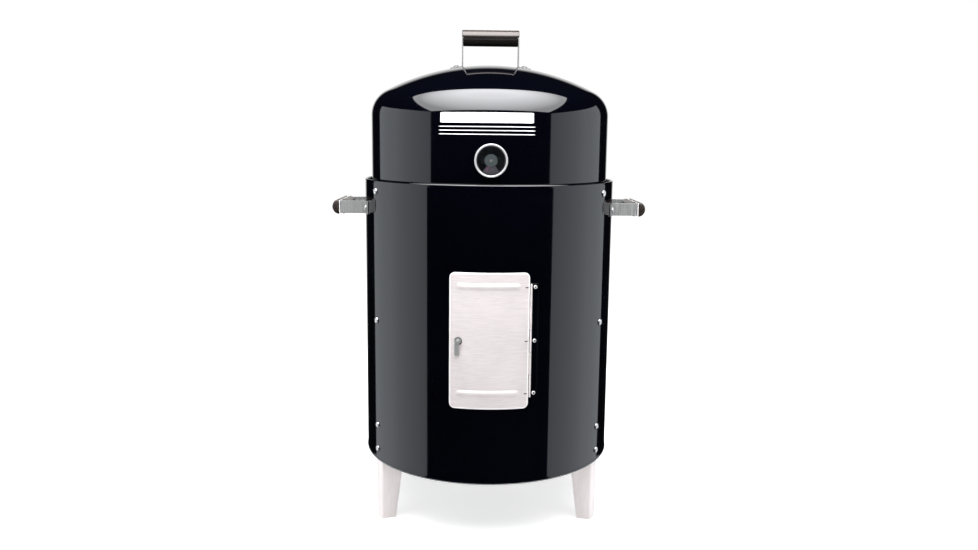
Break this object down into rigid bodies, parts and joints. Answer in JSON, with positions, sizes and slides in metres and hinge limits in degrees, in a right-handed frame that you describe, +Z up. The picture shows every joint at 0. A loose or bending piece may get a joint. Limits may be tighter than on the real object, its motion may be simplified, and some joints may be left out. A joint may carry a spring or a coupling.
{
  "type": "vertical water smoker",
  "caption": "Upright charcoal water smoker: an enamelled barrel on legs with a dome lid and gauge, a latched fuel door, water and charcoal pans and stacked grills.",
  "frame": {"origin": "on the ground under the barrel's axis, midway across the object", "axes": "+Z up along the barrel, -Y towards the front with the fuel door and gauge, +X towards the hinge side"},
  "size_m": [0.522, 0.4289, 0.813],
  "materials": {
    "gloss_black_enamel": "gloss black porcelain enamel on sheet steel",
    "galvanised_sheet": "light galvanised sheet with faint streaks",
    "zinc_plated_strap": "satin grey zinc plate",
    "dark_wood": "dark stained wood, satin",
    "bright_plate": "bright plated steel",
    "dial_face": "matte black printed dial",
    "needle_paint": "purple-grey painted needle",
    "clear_glass": "clear flat glass"
  },
  "bodies": {
    "smoker": {"smoker_body": "gloss_black_enamel", "leg_left": "galvanised_sheet", "leg_right": "galvanised_sheet", "leg_rear": "galvanised_sheet", "upper_bracket_left": "galvanised_sheet", "upper_bracket_right": "galvanised_sheet", "upper_bracket_rear": "galvanised_sheet", "lower_bracket_left": "galvanised_sheet", "lower_bracket_right": "galvanised_sheet", "lower_bracket_rear": "galvanised_sheet", "left_handle_strap": "zinc_plated_strap", "right_handle_strap": "zinc_plated_strap", "left_grip_outer": "dark_wood", "right_grip_outer": "dark_wood", "left_grip_inner": "dark_wood", "right_grip_inner": "dark_wood", "body_hinge_leaf": "gloss_black_enamel", "hinge_pin": "bright_plate", "upper_bracket_bolt_left": "bright_plate", "upper_bracket_bolt_right": "bright_plate", "upper_bracket_bolt_rear": "bright_plate", "lower_bracket_bolt_left": "bright_plate", "lower_bracket_bolt_right": "bright_plate", "lower_bracket_bolt_rear": "bright_plate", "leg_upper_bolt_left": "bright_plate", "leg_upper_bolt_right": "bright_plate", "leg_upper_bolt_rear": "bright_plate", "leg_lower_bolt_left": "bright_plate", "leg_lower_bolt_right": "bright_plate", "leg_lower_bolt_rear": "bright_plate", "handle_bolt_left_front": "bright_plate", "handle_bolt_left_rear": "bright_plate", "handle_bolt_right_front": "bright_plate", "handle_bolt_right_rear": "bright_plate", "hinge_screw_upper": "bright_plate", "hinge_screw_middle": "bright_plate", "hinge_screw_lower": "bright_plate"},
    "charcoal_pan": {"charcoal_pan": "gloss_black_enamel"},
    "water_pan": {"water_pan": "gloss_black_enamel"},
    "lower_grill": {"lower_grill": "bright_plate"},
    "upper_grill": {"upper_grill": "bright_plate"},
    "lid": {"dome_lid": "gloss_black_enamel", "lid_handle_strap": "zinc_plated_strap", "lid_grip_upper": "dark_wood", "lid_grip_lower": "dark_wood", "lid_handle_bolt_left": "bright_plate", "lid_handle_bolt_right": "bright_plate", "gauge_case": "bright_plate", "gauge_dial": "dial_face", "gauge_lens": "clear_glass", "gauge_nut": "bright_plate"},
    "needle": {"gauge_needle": "needle_paint"},
    "door": {"fire_door": "galvanised_sheet", "door_hinge_leaf": "galvanised_sheet", "door_rivet_upper": "bright_plate", "door_rivet_middle": "bright_plate", "door_rivet_lower": "bright_plate"},
    "latch": {"latch_lever": "zinc_plated_strap", "latch_tongue": "galvanised_sheet", "latch_nut": "bright_plate"}
  },
  "joints": [
    {"name": "charcoal_pan_lift", "type": "slide", "parent": "smoker", "child": "charcoal_pan", "axis": [0, 0, 1], "range_m": [0, 0.47]},
    {"name": "water_pan_lift", "type": "slide", "parent": "charcoal_pan", "child": "water_pan", "axis": [0, 0, 1], "range_m": [0, 0.36]},
    {"name": "lower_grill_lift", "type": "slide", "parent": "water_pan", "child": "lower_grill", "axis": [0, 0, 1], "range_m": [0, 0.26]},
    {"name": "upper_grill_lift", "type": "slide", "parent": "lower_grill", "child": "upper_grill", "axis": [0, 0, 1], "range_m": [0, 0.12]},
    {"name": "lid_lift", "type": "slide", "parent": "upper_grill", "child": "lid", "axis": [0, 0, 1], "range_m": [0, 0.3]},
    {"name": "needle_turn", "type": "hinge", "parent": "lid", "child": "needle", "pos_m": [0, -0.1986, 0.6034], "axis": [0, 1, 0], "range_deg": [0, 300]},
    {"name": "door_swing", "type": "hinge", "parent": "smoker", "child": "door", "pos_m": [0.06305, -0.20304, 0.331], "axis": [0, 0, 1], "range_deg": [0, 155]},
    {"name": "latch_turn", "type": "hinge", "parent": "door", "child": "latch", "pos_m": [-0.04672, -0.20648, 0.3315], "axis": [-0.2207, -0.9753, 0], "range_deg": [0, 90]}
  ]
}
